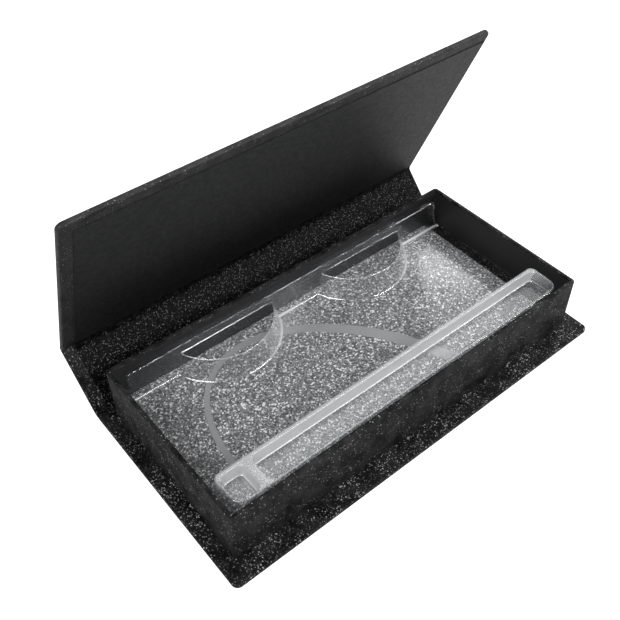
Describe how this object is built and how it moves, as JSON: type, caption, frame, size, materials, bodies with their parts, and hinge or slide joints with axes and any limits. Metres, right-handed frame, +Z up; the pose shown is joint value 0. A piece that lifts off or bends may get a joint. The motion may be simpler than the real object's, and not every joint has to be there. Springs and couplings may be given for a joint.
{
  "type": "false eyelash case",
  "caption": "Book-style rigid paper case for false eyelashes: wrapped base, spine and folding lid, a walled tray with a loose glitter card and a clear formed lash insert.",
  "frame": {"origin": "centre of the underside of the base panel, which rests on the table", "axes": "+X along the case to the right as it is opened, +Y towards the spine, +Z up"},
  "size_m": [0.112, 0.0693, 0.0657],
  "materials": {
    "black_glitter": "satin",
    "smooth_black": "satin",
    "grey_board": "matte",
    "silver_glitter": "gloss",
    "clear_sheet": "gloss",
    "adhesive": "matte",
    "paper_tape": "satin",
    "magnet": "satin"
  },
  "bodies": {
    "base": {"base_board": "grey_board", "base_wrap": "black_glitter", "base_liner": "black_glitter", "tray_adhesive": "adhesive", "tray_bottom": "grey_board", "tray_front_wall": "grey_board", "tray_back_wall": "grey_board", "tray_left_wall": "grey_board", "tray_right_wall": "grey_board", "corner_tapes": "paper_tape", "front_magnets": "magnet", "tray_wrap": "black_glitter", "tray_lining": "smooth_black", "floor_riser": "grey_board", "floor_paper": "black_glitter", "glitter_card": "silver_glitter", "lash_insert": "clear_sheet"},
    "spine": {"spine_board": "grey_board", "spine_wrap": "black_glitter", "spine_liner": "black_glitter"},
    "lid": {"lid_board": "grey_board", "lid_magnets": "magnet", "lid_wrap": "black_glitter", "lid_liner": "black_glitter"}
  },
  "joints": [
    {"name": "spine_fold", "type": "hinge", "parent": "base", "child": "spine", "pos_m": [0, 0.0283, 0.0002], "axis": [-1, 0, 0], "range_deg": [-43, 47]},
    {"name": "lid_fold", "type": "hinge", "parent": "spine", "child": "lid", "pos_m": [0, 0.04058, 0.01336], "axis": [-1, 0, 0], "range_deg": [-24, 66]}
  ]
}
